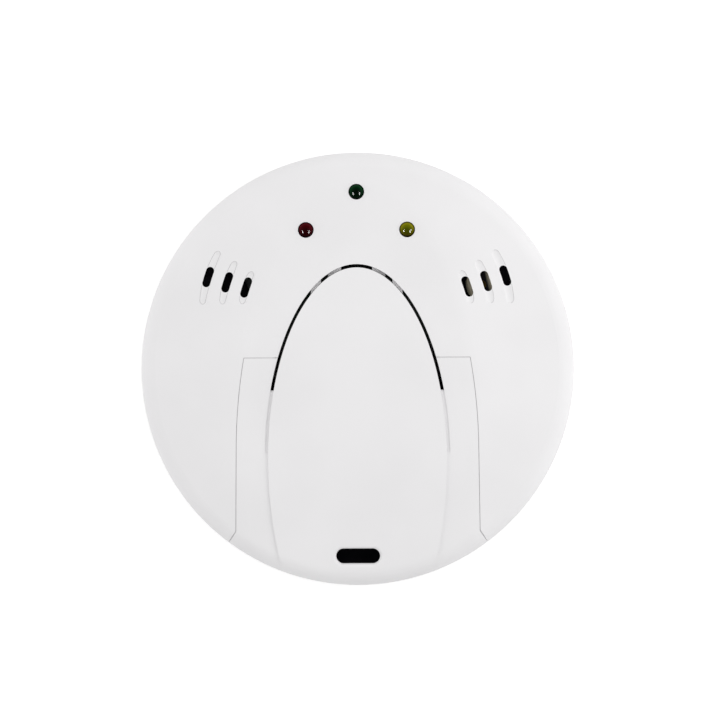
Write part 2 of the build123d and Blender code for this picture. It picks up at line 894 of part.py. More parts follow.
for index, y in enumerate(cell_places_y):
    facing = 1 if index % 2 == 0 else -1
    half = (cell_length + nub_length) / 2
    with BuildPart() as cell:
        with BuildSketch(Plane.XY):
            with BuildLine():
                Polyline(
                    (-half * facing, 0),
                    (-half * facing, cell_radius),
                    ((half - nub_length) * facing, cell_radius),
                    ((half - nub_length) * facing, nub_radius),
                    (half * facing, nub_radius),
                    (half * facing, 0),
                    close=True,
                )
            make_face()
        revolve(axis=Axis.X)
        chamfer(
            cell.edges().filter_by(GeomType.CIRCLE).filter_by(lambda e: e.radius > nub_radius),
            cell_edge,
        )
    with BuildPart() as aa_cell:
        with Locations((0, y, cell_axis_z)):
            add(cell.part)
    write(aa_cell, f"battery_{index + 1}")


def contact_plate(places, side):
    """A flat contact on an end wall of the tray, tall enough for the cells it serves."""
    middle = sum(places) / len(places)
    width = max(places) - min(places) + contact_width
    face_x = side * (tray_half_length - contact_thickness)
    with BuildPart() as plate:
        with Locations((face_x + side * contact_thickness / 2, middle, cell_axis_z)):
            Box(contact_thickness, width, contact_width)
    return plate.part


def contact_cup(y, side):
    """The raised cup that meets a cell's positive nub."""
    with BuildPart() as cup:
        with BuildSketch(Plane.YZ.offset(side * (tray_half_length - contact_thickness))):
            with Locations((y, cell_axis_z)):
                Circle(nub_radius + cup_spread)
        extrude(amount=-side * (contact_room - contact_thickness - contact_play), taper=cup_taper)
    return cup.part


def contact_leaf(y, side):
    """The bowed leaf that presses on a cell's flat end."""
    foot_x = side * (tray_half_length - contact_thickness)
    crest_x = side * (tray_half_length - contact_room + contact_play)
    half_span = contact_width / 2
    with BuildPart() as leaf:
        with BuildSketch(Plane.XY.offset(cell_axis_z - leaf_width / 2)):
            with BuildLine():
                front = ThreePointArc((foot_x, y - half_span), (crest_x, y), (foot_x, y + half_span))
                back = ThreePointArc(
                    (foot_x, y - half_span + 2 * leaf_thickness),
                    (crest_x + side * leaf_thickness, y),
                    (foot_x, y + half_span - 2 * leaf_thickness),
                )
                Line(front @ 0, back @ 0)
                Line(front @ 1, back @ 1)
            make_face()
        extrude(amount=leaf_width)
    return leaf.part


with BuildPart() as positive_contact:
    add(contact_plate(cell_places_y[:1], 1))
    add(contact_cup(cell_places_y[0], 1))
write(positive_contact, "positive_contact")

with BuildPart() as negative_contact:
    add(contact_plate(cell_places_y[-1:], -1))
    add(contact_leaf(cell_places_y[-1], -1))
write(negative_contact, "negative_contact")

with BuildPart() as link_contacts:
    for index in range(cell_count - 1):
        side = -1 if index % 2 == 0 else 1
        add(contact_plate(cell_places_y[index : index + 2], side))
        add(contact_leaf(cell_places_y[index], side))
        add(contact_cup(cell_places_y[index + 1], side))
write(link_contacts, "link_contacts")

# ---------------------------------------------------------------- circuit board
with BuildPart() as circuit_board:
    with BuildSketch(Plane.XY.offset(board_z)):
        Circle(board_radius)
        with Locations((0, board_foot_y)):
            Rectangle(
                2 * board_radius, board_radius, align=(Align.CENTER, Align.MIN), mode=Mode.INTERSECT
            )
        with Locations(case_screw_places):
            Circle(case_boss_radius + board_notch_gap, mode=Mode.SUBTRACT)
        with Locations(board_post_places):
            Circle(board_screw_radius + screw_play, mode=Mode.SUBTRACT)
    extrude(amount=board_thickness)
write(circuit_board, "circuit_board")

for name, (x, y) in led_places.items():
    tip_z = face_height(x, y) + led_proud
    base_z = tip_z - led_length
    with BuildPart() as led:
        with BuildSketch(Plane.XZ):
            with BuildLine():
                Line((0, 0), (led_flange_radius, 0))
                Line((led_flange_radius, 0), (led_flange_radius, led_flange_height))
                Line((led_flange_radius, led_flange_height), (led_radius, led_flange_height))
                Line((led_radius, led_flange_height), (led_radius, led_length - led_radius))
                CenterArc((0, led_length - led_radius), led_radius, 0, quarter_turn)
                Line((0, led_length), (0, 0))
            make_face()
        revolve(axis=Axis.Z)
    with BuildPart() as lamp:
        with Locations((x, y, base_z)):
            add(led.part)
    write(lamp, name)

with BuildPart() as led_legs:
    for x, y in led_places.values():
        with BuildSketch(Plane.XY.offset(board_top_z)):
            with Locations((x, y)):
                with GridLocations(led_leg_spacing, 1, 2, 1):
                    Rectangle(led_leg, led_leg)
        extrude(amount=face_height(x, y) + led_proud - led_length - board_top_z)
write(led_legs, "led_legs")

# ---------------------------------------------------------------- test switch
with BuildPart() as test_switch:
    with BuildSketch(Plane.XY.offset(board_top_z)):
        with Locations((0, switch_y)):
            Rectangle(switch_side, switch_side)
    extrude(amount=switch_height)
    with BuildSketch(Plane.XY.offset(switch_top_z)):
        with Locations((0, switch_y)):
            Circle(plunger_radius + pin_play)
    extrude(amount=-plunger_depth - 2 * press_gap, mode=Mode.SUBTRACT)
write(test_switch, "test_switch")

with BuildPart() as switch_plunger:
    with BuildSketch(Plane.XY.offset(switch_top_z - plunger_depth)):
        with Locations((0, switch_y)):
            Circle(plunger_radius)
    extrude(amount=plunger_depth + plunger_height)
    chamfer(switch_plunger.edges().group_by(Axis.Z)[-1], plunger_edge)
write(switch_plunger, "switch_plunger")

# ---------------------------------------------------------------- sounder and gas sensor
sounder_top_z = board_top_z + sounder_height

with BuildPart() as sounder_housing:
    with BuildSketch(Plane.XY.offset(board_top_z)):
        with Locations((sounder_x, sounder_y)):
            Circle(sounder_radius)
    extrude(amount=sounder_height)
    chamfer(sounder_housing.edges().group_by(Axis.Z)[-1], sounder_edge)
    with BuildSketch(Plane.XY.offset(board_top_z)):
        with Locations((sounder_x, sounder_y)):
            Circle(sounder_radius - sounder_wall)
    extrude(amount=sounder_height - sounder_wall, mode=Mode.SUBTRACT)
    with BuildSketch(Plane.XY.offset(board_top_z)):
        with Locations((sounder_x, sounder_y)):
            Circle(throat_bore)
    extrude(amount=sounder_height, mode=Mode.SUBTRACT)
    with BuildSketch(Plane.XY.offset(board_top_z + piezo_seat_height)):
        with Locations((sounder_x, sounder_y)):
            Circle(sounder_radius - sounder_wall)
            Circle(piezo_radius - sounder_wall, mode=Mode.SUBTRACT)
    extrude(amount=-piezo_seat_height)
write(sounder_housing, "sounder_housing")

with BuildPart() as sounder_throat:
    with BuildSketch(Plane.XY.offset(sounder_top_z)):
        with Locations((sounder_x, sounder_y)):
            Circle(throat_radius)
            Circle(throat_bore, mode=Mode.SUBTRACT)
    extrude(amount=throat_height)
write(sounder_throat, "sounder_throat")

with BuildPart() as piezo_disc:
    with BuildSketch(Plane.XY.offset(board_top_z + piezo_seat_height)):
        with Locations((sounder_x, sounder_y)):
            Circle(piezo_radius)
    extrude(amount=piezo_thickness)
write(piezo_disc, "piezo_disc")

with BuildPart() as co_sensor:
    with BuildSketch(Plane.XY.offset(board_top_z)):
        with Locations((sensor_x, sensor_y)):
            Circle(sensor_radius)
    extrude(amount=sensor_height)
    chamfer(co_sensor.edges().group_by(Axis.Z)[-1], sensor_edge)
write(co_sensor, "co_sensor")

with BuildPart() as sensor_filter:
    with BuildSketch(Plane.XY.offset(board_top_z + sensor_height)):
        with Locations((sensor_x, sensor_y)):
            Circle(sensor_cap_radius)
            with PolarLocations(sensor_hole_circle, sensor_hole_count):
                Circle(sensor_hole_radius, mode=Mode.SUBTRACT)
    extrude(amount=sensor_cap_height)
write(sensor_filter, "sensor_filter")

# ---------------------------------------------------------------- parts on the board
with BuildPart() as alarm_chip:
    with BuildSketch(Plane.XY.offset(board_top_z)):
        with Locations((0, chip_y)):
            Rectangle(chip_length, chip_width)
    extrude(amount=chip_height)
    chamfer(alarm_chip.edges().group_by(Axis.Z)[-1], chip_edge)
    with BuildSketch(Plane.XY.offset(board_top_z)):
        with Locations((0, chip_y)):
            with GridLocations(chip_pin_pitch, chip_width, chip_pins // 2, 2):
                Rectangle(chip_pin_width, 2 * chip_pin_length)
    extrude(amount=chip_pin_height)
write(alarm_chip, "alarm_chip")

with BuildPart() as capacitor:
    with BuildSketch(Plane.XY.offset(board_top_z)):
        with Locations((capacitor_x, capacitor_y)):
            Circle(capacitor_radius)
    extrude(amount=capacitor_height)
    chamfer(capacitor.edges().group_by(Axis.Z)[-1], capacitor_edge)
write(capacitor, "capacitor")

with BuildPart() as sounder_coil:
    with BuildSketch(Plane.XY.offset(board_top_z)):
        with Locations((coil_x, coil_y)):
            Circle(coil_radius)
    extrude(amount=coil_height)
    with BuildSketch(Plane.XY.offset(board_top_z + coil_flange)):
        with Locations((coil_x, coil_y)):
            Circle(coil_radius)
            Circle(coil_core_radius, mode=Mode.SUBTRACT)
    extrude(amount=coil_height - 2 * coil_flange, mode=Mode.SUBTRACT)
write(sounder_coil, "sounder_coil")

with BuildPart() as resistors:
    with BuildSketch(Plane.XY.offset(board_top_z)):
        with Locations((resistor_x, resistor_y)):
            with GridLocations(resistor_pitch, resistor_row_pitch, resistor_columns, resistor_rows):
                Rectangle(resistor_width, resistor_length)
    extrude(amount=resistor_height)
write(resistors, "resistors")
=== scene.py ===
# %% [markdown]
# A carbon monoxide alarm, dressed for its portrait.
# The imported model gives every solid at its real size. This lesson gives each one its finish, and adds the
# small things that a moulding drawing leaves out: lenses and strips, and grey hairlines and beads that are
# painted shade.

# %% Load the frame
import bpy
import bmesh
from math import asin, cos, pi, radians, sin
from mathutils import Euler, Matrix, Vector


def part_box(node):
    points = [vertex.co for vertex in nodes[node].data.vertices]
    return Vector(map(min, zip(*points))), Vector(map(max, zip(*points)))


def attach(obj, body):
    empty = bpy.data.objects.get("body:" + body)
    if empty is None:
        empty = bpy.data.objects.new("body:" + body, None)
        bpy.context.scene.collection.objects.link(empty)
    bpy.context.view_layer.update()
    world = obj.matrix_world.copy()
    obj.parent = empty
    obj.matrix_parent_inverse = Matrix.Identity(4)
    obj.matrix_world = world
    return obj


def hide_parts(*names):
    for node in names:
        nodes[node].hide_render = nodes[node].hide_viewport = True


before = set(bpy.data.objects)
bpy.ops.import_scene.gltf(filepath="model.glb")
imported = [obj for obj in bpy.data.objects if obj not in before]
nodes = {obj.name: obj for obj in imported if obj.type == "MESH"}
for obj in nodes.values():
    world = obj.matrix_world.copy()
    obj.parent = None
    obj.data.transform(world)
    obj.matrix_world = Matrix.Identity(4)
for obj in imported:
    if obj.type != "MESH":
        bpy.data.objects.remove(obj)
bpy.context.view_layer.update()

MM = 0.001
bpy.ops.object.select_all(action="DESELECT")

# %% [markdown]
# The camera looks straight down on the face, as on a catalogue page. A near camera would spread the rim and
# show the side wall, so this one stands far off behind a long lens, which keeps the round case round. It
# stands half a degree to the right of the case's own axis, and is turned a quarter of a degree.

# %% Camera
case_low, case_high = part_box("front_cover")
case_width = case_high[0] - case_low[0]
WIDTHS_ACROSS = 1.6651
LENS = 500.0
SENSOR = 36.0
ROLL = radians(-0.28)
LEAN = radians(0.5)
SHIFT_X, SHIFT_Y = 0.0031, 0.0122
camera_reach = case_width * WIDTHS_ACROSS * LENS / SENSOR
camera_turn = Euler((0, LEAN, ROLL))
camera_place = camera_turn.to_matrix() @ Vector((0, 0, camera_reach)) + Vector((0, 0, case_low[2]))
bpy.ops.object.camera_add(location=camera_place, rotation=camera_turn)
camera = bpy.context.object
camera.data.lens = LENS
camera.data.sensor_width = SENSOR
camera.data.shift_x = SHIFT_X
camera.data.shift_y = SHIFT_Y
bpy.context.scene.camera = camera
print("camera", round(camera_reach, 3), "m away")

# %% [markdown]
# The world and every material are built from nodes. They could be drawn by hand in the node editor, but a
# script can be read from top to bottom. One function turns a hex colour to linear light, one adds a node
# with its settings, colour stops and links, and one makes the last link to a shader.

# %% Node helpers
def linear(hex_colour):
    """A hex sRGB colour as linear RGBA."""
    parts = [int(hex_colour[i : i + 2], 16) / 255 for i in (1, 3, 5)]
    curve = [c / 12.92 if c <= 0.04045 else ((c + 0.055) / 1.055) ** 2.4 for c in parts]
    return (*curve, 1.0)


def node(owner, kind, links=(), inputs=None, stops=(), **settings):
    """Adds a node to a material or world, sets its properties, inputs and stops, and links others to it."""
    tree = owner.node_tree
    added = tree.nodes.new(kind)
    for key, value in settings.items():
        setattr(added, key, value)
    for key, value in (inputs or {}).items():
        added.inputs[key].default_value = value
    for index, (place, colour) in enumerate(stops):
        stop = added.color_ramp.elements[index] if index < 2 else added.color_ramp.elements.new(place)
        stop.position = place
        stop.color = linear(colour)
    for source, output, target in links:
        tree.links.new(source.outputs[output], added.inputs[target])
    return added


def connect(owner, source, output, shader, target):
    """Links a node's output to a shader."""
    owner.node_tree.links.new(source.outputs[output], shader.inputs[target])


print("mid grey in linear light", round(linear("#808080")[0], 3))

# %% [markdown]
# A light tent does most of the work: white cloth all round, brightest at the left and right, and brighter
# towards the top of the face than towards its foot. A picture of a studio could light it too, but a formula
# is smooth and small. The strength for a direction d is level x (1 + slope . d + bow . d squared), with the
# square taken axis by axis.

# %% Light tent
TENT_LEVEL = 0.868
TENT_SLOPE = (-0.02, 0.19, 0.0)
TENT_BOW = (0.8, -0.45, 0.0)
world = bpy.data.worlds.new("light_tent")
bpy.context.scene.world = world
world.use_nodes = True
sky = world.node_tree.nodes["Background"]
sky.inputs["Color"].default_value = linear("#ffffff")
direction = node(world, "ShaderNodeTexCoord")
slope = node(
    world,
    "ShaderNodeVectorMath",
    [(direction, "Generated", 0)],
    {1: TENT_SLOPE},
    operation="DOT_PRODUCT",
)
square = node(
    world,
    "ShaderNodeVectorMath",
    [(direction, "Generated", 0), (direction, "Generated", 1)],
    operation="MULTIPLY",
)
bow = node(world, "ShaderNodeVectorMath", [(square, "Vector", 0)], {1: TENT_BOW}, operation="DOT_PRODUCT")
both = node(world, "ShaderNodeMath", [(slope, "Value", 0), (bow, "Value", 1)], operation="ADD")
level = node(
    world,
    "ShaderNodeMath",
    [(both, "Value", 0)],
    {1: TENT_LEVEL, 2: TENT_LEVEL},
    operation="MULTIPLY_ADD",
)
connect(world, level, "Value", sky, "Strength")
bpy.context.scene.view_settings.view_transform = "Standard"
print("tent level", TENT_LEVEL)

# %% [markdown]
# A tent alone lights both flanks of the dome alike. A soft square light stands near on the right, so that
# the right-hand rim is the brightest part of the case. Its power is worked out from how bright its face is,
# so its size can be changed and its brightness stays.

# %% Side light
SIDE_PLACE = Vector((0.45, 0.06, 0.35))
SIDE_SIZE = 0.35
SIDE_RADIANCE = 1.1
bpy.ops.object.light_add(type="AREA", location=SIDE_PLACE)
side_light = bpy.context.object
side_light.name = "side_light"
side_light.data.size = SIDE_SIZE
side_light.data.energy = SIDE_RADIANCE * pi * SIDE_SIZE**2
side_light.rotation_euler = (-SIDE_PLACE).to_track_quat("-Z", "Y").to_euler()
print("side light", round(side_light.data.energy, 3), "W")

# %% [markdown]
# Each lamp on the face mirrors two small windows. Spots painted on the lamps would stay put when the view
# turns, so the windows are real light panels, long and low on the left and right. They are there for the
# lamps alone: a collection holds what they light, and they throw no diffuse light.

# %% Window panels
PANEL_REACH = 1.2
PANEL_SIZE = (0.85, 0.32)
PANEL_RADIANCE = 280.0
PANEL_OUT, PANEL_BACK, PANEL_UP = 0.74, -0.38, 0.55
PANEL_LEAN = 0.2
glossy_pieces = bpy.data.collections.new("glossy_pieces")
for side in (-1, 1):
    toward = Vector((PANEL_OUT * side, PANEL_BACK, PANEL_UP)).normalized()
    length = Vector((-PANEL_LEAN * side, 1, 0)).cross(toward).cross(toward).normalized()
    panel_turn = Matrix((length, toward.cross(length), toward)).transposed()
    bpy.ops.object.light_add(type="AREA", location=toward * PANEL_REACH, rotation=panel_turn.to_euler())
    panel = bpy.context.object
    panel.name = "window_panel"
    panel.data.shape = "RECTANGLE"
    panel.data.size, panel.data.size_y = PANEL_SIZE
    panel.data.energy = PANEL_RADIANCE * pi * PANEL_SIZE[0] * PANEL_SIZE[1]
    panel.visible_diffuse = False
    panel.light_linking.receiver_collection = glossy_pieces
print("window panels", PANEL_SIZE, "m")

# %% [markdown]
# Patterns could be stretched over each piece with a UV map, but moulded plastic has no seams and no grain
# direction, so they read Object coordinates instead. Those are metres in the alarm's own frame, and every
# scale is one over a real size.

# %% Material helpers
SHEEN_PATCH = 12 * MM


def new_material(name, colour, roughness, **settings):
    """A material with one Principled shader, and that shader."""
    material = bpy.data.materials.new(name)
    material.use_nodes = True
    shader = material.node_tree.nodes["Principled BSDF"]
    shader.inputs["Base Color"].default_value = linear(colour)
    shader.inputs["Roughness"].default_value = roughness
    for socket, value in settings.items():
        shader.inputs[socket.replace("_", " ")].default_value = value
    return material, shader


def mottle(material, shader, colours, size):
    """A slow drift between colours, over patches of a real size."""
    place = node(material, "ShaderNodeTexCoord")
    patches = node(
        material, "ShaderNodeTexNoise", [(place, "Object", "Vector")], {"Scale": 1 / size, "Detail": 2.0}
    )
    stops = [(0.35 + 0.3 * i / (len(colours) - 1), colour) for i, colour in enumerate(colours)]
    drift = node(material, "ShaderNodeValToRGB", [(patches, "Fac", "Fac")], stops=stops)
    connect(material, drift, "Color", shader, "Base Color")
    return drift


def skin(material, shader, grain, depth, smooth, dull):
    """A fine grained skin: bumps of a real size and depth, with roughness that drifts over it."""
    place = node(material, "ShaderNodeTexCoord")
    bumps = node(
        material, "ShaderNodeTexNoise", [(place, "Object", "Vector")], {"Scale": 1 / grain, "Detail": 3.0}
    )
    relief = node(
        material, "ShaderNodeBump", [(bumps, "Fac", "Height")], {"Strength": 1.0, "Distance": depth}
    )
    connect(material, relief, "Normal", shader, "Normal")
    patches = node(
        material, "ShaderNodeTexNoise", [(place, "Object", "Vector")], {"Scale": 1 / SHEEN_PATCH}
    )
    sheen = node(
        material,
        "ShaderNodeMapRange",
        [(patches, "Fac", "Value")],
        {"From Min": 0.3, "From Max": 0.7, "To Min": smooth, "To Max": dull},
    )
    connect(material, sheen, "Result", shader, "Roughness")


print("sheen drifts over", round(SHEEN_PATCH / MM), "mm")

# %% [markdown]
# Some finishes change across a piece: a lamp's tint, a cell's bands, a chip's legs. Slicing the mesh for
# each colour would change the solids, so the material measures where each surface point lies instead. An
# offset is taken from the piece's centre, or a distance from a line or plane through it.

# %% Place helpers
def from_centre(material, centre):
    """Offset of a surface point from a centre, in metres."""
    place = node(material, "ShaderNodeTexCoord")
    return node(
        material, "ShaderNodeVectorMath", [(place, "Object", 0)], {1: centre}, operation="SUBTRACT"
    )


def from_line(material, centre, across):
    """Distance of a surface point from a line through a centre; across is 0 along that line."""
    offset = from_centre(material, centre)
    spread = node(
        material, "ShaderNodeVectorMath", [(offset, "Vector", 0)], {1: across}, operation="MULTIPLY"
    )
    return node(material, "ShaderNodeVectorMath", [(spread, "Vector", 0)], operation="LENGTH")


def middle(name):
    """Centre of a node's box."""
    low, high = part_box(name)
    return [(a + b) / 2 for a, b in zip(low, high)]


def wear(material, *piece_names):
    """Gives CAD nodes a material in place of their plain one."""
    for name in piece_names:
        mesh = nodes[name].data
        mesh.materials.clear()
        mesh.materials.append(material)
    print(material.name, "on", ", ".join(piece_names))


print("middle of the cover", [round(value / MM, 1) for value in middle("front_cover")], "mm")

# %% [markdown]
# The case, its door and its tongue are moulded in white ABS. The tool is spark-eroded, which leaves a fine
# even grain and a soft satin gloss. A flat white would look like paper, so the colour drifts a little and
# the grain breaks up the gloss. The grain is drawn at half a millimetre, a little coarser than real.

# %% White moulding
SHELL_GLOSS = 0.2
shell, shell_shader = new_material("moulded_abs_white", "#e8e7e8", 0.6, Specular_IOR_Level=SHELL_GLOSS)
mottle(shell, shell_shader, ["#e9e8e9", "#e6e5e6"], 28 * MM)
skin(shell, shell_shader, 0.5 * MM, 0.006 * MM, 0.56, 0.66)
wear(shell, "front_cover", "battery_door", "test_button")

# %% [markdown]
# The rear case and wall plate come from plainer tools in the same plastic. They could share the front's
# material, but a coarser and duller skin is what tells the back from the front.

# %% Rear moulding
rear, rear_shader = new_material("moulded_abs_rear", "#e2e1e1", 0.6, IOR=1.53)
mottle(rear, rear_shader, ["#e4e3e3", "#dfdedd"], 20 * MM)
skin(rear, rear_shader, 0.9 * MM, 0.012 * MM, 0.55, 0.68)
wear(rear, "rear_case", "mounting_plate")

# %% [markdown]
# The battery tray and the sounder are black mouldings, which is why every opening in the face looks black.
# The plastic is filled with carbon and matt, with a faint violet cast. Its colour stays just above pure
# black, because a real black still throws back a little light.

# %% Black moulding
tray, tray_shader = new_material("moulded_abs_black", "#0c0911", 0.7, Specular_IOR_Level=0.14)
mottle(tray, tray_shader, ["#100b18", "#0a0710"], 15 * MM)
skin(tray, tray_shader, 0.6 * MM, 0.006 * MM, 0.62, 0.75)
wear(tray, "battery_tray", "sounder_housing", "co_sensor", "sensor_filter")

# %% [markdown]
# The sounder's throat is left in the natural ivory of its resin. Over it, near-black strips that run the way
# the vents lean are painted shade: the shade that the slots' walls throw inside. Only bars of the resin show
# through the face. The shade could be modelled as sheets, but it lies flat and far inside, so a colour ramp
# across the slant draws the strips' edges.

# %% Sounder throat
SLANT = 0.24
THROAT_HALF = 6 * MM
# Painted shade: the near-black that covers the throat where the slots' walls shade it.
PAINTED_SHADE = "#0d0912"
throat, throat_shader = new_material("moulded_resin_ivory", "#efe7cc", 0.5, Specular_IOR_Level=0.12)
resin_colour = mottle(throat, throat_shader, ["#f6eed2", "#e8dfc4"], 3 * MM)
skin(throat, throat_shader, 0.4 * MM, 0.004 * MM, 0.45, 0.55)
mouth_x, mouth_y, mouth_z = middle("sounder_throat")
mouth = mouth_x + SLANT * mouth_y
place = node(throat, "ShaderNodeTexCoord")
across = node(
    throat, "ShaderNodeVectorMath", [(place, "Object", 0)], {1: (1, SLANT, 0)}, operation="DOT_PRODUCT"
)
share = node(
    throat,
    "ShaderNodeMapRange",
    [(across, "Value", "Value")],
    {"From Min": mouth - THROAT_HALF, "From Max": mouth + THROAT_HALF},
)
# White in this ramp is where the resin shows, black is painted shade.
bars = node(
    throat,
    "ShaderNodeValToRGB",
    [(share, "Result", "Fac")],
    stops=[
        (0.08, "#000000"),
        (0.18, "#ffffff"),
        (0.39, "#ffffff"),
        (0.42, "#000000"),
        (0.65, "#000000"),
        (0.75, "#ffffff"),
    ],
)
throat_colour = node(
    throat,
    "ShaderNodeMix",
    [(bars, "Color", "Factor"), (resin_colour, "Color", 7)],
    {6: linear(PAINTED_SHADE)},
    data_type="RGBA",
)
connect(throat, throat_colour, 2, throat_shader, "Base Color")
wear(throat, "sounder_throat")

# %% [markdown]
# Each indicator is a 5 mm lamp, cast in a cup-shaped mould: a round tip, a straight side and a wider flange
# at its root. A solid of the frame is made of flat facets, and a glossy lens shows them, so the lens is
# modelled again. It could be spun from a profile, but a ball is already round: it loses its lower half,
# its open edge is drawn down to the flange, and the root is closed. Each lamp gets a copy.

# %% Lamp lens
LENS_RADIUS = 2.4 * MM
FLANGE_RADIUS = 2.9 * MM
FLANGE_HEIGHT = 1.0 * MM
FLANGE_EDGE = 0.12 * MM
SHARP = radians(40)
lamp_low, lamp_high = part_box("led_power")
straight = lamp_high[2] - lamp_low[2] - LENS_RADIUS - FLANGE_HEIGHT
bpy.ops.mesh.primitive_uv_sphere_add(segments=64, ring_count=32, radius=LENS_RADIUS)
lens_master = bpy.context.object
bpy.ops.object.mode_set(mode="EDIT")
bpy.ops.mesh.bisect(plane_co=(0, 0, 0), plane_no=(0, 0, 1), clear_inner=True)
bpy.ops.mesh.extrude_region_move(TRANSFORM_OT_translate={"value": (0, 0, -straight)})
bpy.ops.mesh.extrude_region_move(TRANSFORM_OT_translate={"value": (0, 0, 0)})
widening = FLANGE_RADIUS / LENS_RADIUS
bpy.ops.transform.resize(value=(widening, widening, 1), center_override=(0, 0, -straight))
bpy.ops.mesh.extrude_region_move(TRANSFORM_OT_translate={"value": (0, 0, -FLANGE_HEIGHT)})
bpy.ops.mesh.edge_face_add()
bpy.ops.mesh.select_all(action="SELECT")
bpy.ops.mesh.normals_make_consistent(inside=False)
bpy.ops.object.mode_set(mode="OBJECT")
edge = lens_master.modifiers.new("edge", "BEVEL")
edge.width = FLANGE_EDGE
edge.segments = 3
edge.limit_method = "ANGLE"
edge.angle_limit = SHARP
bpy.ops.object.modifier_apply(modifier="edge")
bpy.ops.object.shade_smooth_by_angle(angle=SHARP)
lens_length = straight + FLANGE_HEIGHT + LENS_RADIUS
print("lens", len(lens_master.data.polygons), "faces,", round(lens_length / MM, 2), "mm long")

# %% [markdown]
# The resin is so deeply tinted that an unlit lamp looks almost black. A clear shader would need the parts
# inside the lamp to show its colour, so the resin is drawn as a glossy skin. The light that would cross the
# edge of the tip is painted into its tint, brightest just inside the edge, and the lower part of the tip is
# painted in shade. Amber is paler than the other two.

# %% Lamp resin
LAMPS = {
    "led_power": ["#000401", "#001a07", "#023012", "#01140a"],
    "led_alarm": ["#220002", "#390003", "#46020a", "#220106"],
    "led_fault": ["#454c02", "#5e6000", "#7c780a", "#332a02"],
}
RESIN_GLOSS = 0.025
SHADE_FROM, SHADE_TO = -2.2 * MM, 1.0 * MM


def tinted_resin(name, centre, deep, body, fringe, rim):
    """Lamp resin about a centre: four tints from the middle out, painted light towards the edge, with
    painted shade towards the lower side.
    """
    resin, resin_shader = new_material(name, body, 0.05, Specular_IOR_Level=RESIN_GLOSS)
    depth = from_line(resin, centre, (1, 1, 0))
    share = node(resin, "ShaderNodeMapRange", [(depth, "Value", "Value")], {"From Max": LENS_RADIUS})
    # Painted light: the tint is brightest just inside the edge of the tip, where light would cross it.
    tint = node(
        resin,
        "ShaderNodeValToRGB",
        [(share, "Result", "Fac")],
        stops=[(0.0, deep), (0.5, body), (0.8, fringe), (1.0, rim)],
    )
    # Painted shade: the lower side of the tip is darkened with a violet grey.
    parts = node(resin, "ShaderNodeSeparateXYZ", [(from_centre(resin, centre), "Vector", 0)])
    lower_shade_share = node(
        resin, "ShaderNodeMapRange", [(parts, "Y", "Value")], {"From Min": SHADE_FROM, "From Max": SHADE_TO}
    )
    painted_lower_shade = node(
        resin, "ShaderNodeValToRGB", [(lower_shade_share, "Result", "Fac")], stops=[(0.0, "#5c4c78"), (1.0, "#ffffff")]
    )
    colour = node(
        resin,
        "ShaderNodeMix",
        [(tint, "Color", 6), (painted_lower_shade, "Color", 7)],
        {"Factor": 1.0},
        data_type="RGBA",
        blend_type="MULTIPLY",
    )
    connect(resin, colour, 2, resin_shader, "Base Color")
    return resin


print("lamp tints", {name: tints[1] for name, tints in LAMPS.items()})

# %% [markdown]
# Three objects could share one lens mesh, but each lens has its own resin and its own place in its mesh, so
# each copy gets a mesh of its own. A lens stands in for its lamp's solid, which is hidden, and rides on the
# alarm. It also joins the collection that the window panels light.

# %% Lamps
for name, tints in LAMPS.items():
    colour_name = name.split("_")[1]
    centre = middle(name)
    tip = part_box(name)[1][2]
    lens = lens_master.copy()
    lens.data = lens_master.data.copy()
    lens.name = "lens_" + colour_name
    bpy.context.collection.objects.link(lens)
    lens.data.transform(Matrix.Translation((centre[0], centre[1], tip - LENS_RADIUS)))
    lens.data.materials.append(tinted_resin("tinted_epoxy_" + colour_name, centre, *tints))
    glossy_pieces.objects.link(lens)
    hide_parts(name)
    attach(lens, "alarm")
bpy.data.objects.remove(lens_master)
print("lamps", list(LAMPS))

# %% [markdown]
# The thin trim all follows the curved face. Its points could be projected by a shrinkwrap modifier, but a
# straight look down on the solid gives the same height and can be printed. A chain of edges then becomes a
# curve, which takes a round section and capped ends, and turns back to a mesh.

# %% Trim helpers
def face_height(name, x, y):
    """Height of a CAD node's face under (x, y)."""
    hit, point, normal, face = nodes[name].ray_cast((x, y, case_high[2]), (0, 0, -1))
    return point.z


def round_wire(chain, radius, roundness):
    """Turns the active chain of edges into a solid round wire."""
    bpy.ops.object.convert(target="CURVE")
    chain.data.bevel_depth = radius
    chain.data.bevel_resolution = roundness
    chain.data.use_fill_caps = True
    bpy.ops.object.convert(target="MESH")


def join(pieces, name):
    """Joins pieces into one object with a name."""
    bpy.ops.object.select_all(action="DESELECT")
    for piece in pieces:
        piece.select_set(True)
    bpy.context.view_layer.objects.active = pieces[0]
    bpy.ops.object.join()
    joined = bpy.context.object
    joined.name = name
    return joined


print("face height on the door", round(face_height("battery_door", 0, -30 * MM) / MM, 2), "mm")

# %% [markdown]
# Each vent sits in a shallow scoop, and a grey hairline round it, broken where the slot opens, is painted
# shade: the thin shade at the scoop's edge. It could be a line in a bump map, but a real wire keeps its
# width in every view. A ring of points is stretched to the scoop's length and given points along its sides.
# Then it is cleared over the slot, and on the right-hand vents along most of its inner side, where that edge
# faces the light and shows no shade.

# %% Scoop ring
SCOOP_RADIUS = 1.15 * MM
SLOT_HALF = 2.9 * MM
# The painted shade is cleared on the lit inner side of the right-hand rings.
CLEAR_INSIDE = {-1: 2 * SCOOP_RADIUS, 1: 0.2 * SCOOP_RADIUS}
ON_AXIS = 0.001 * MM


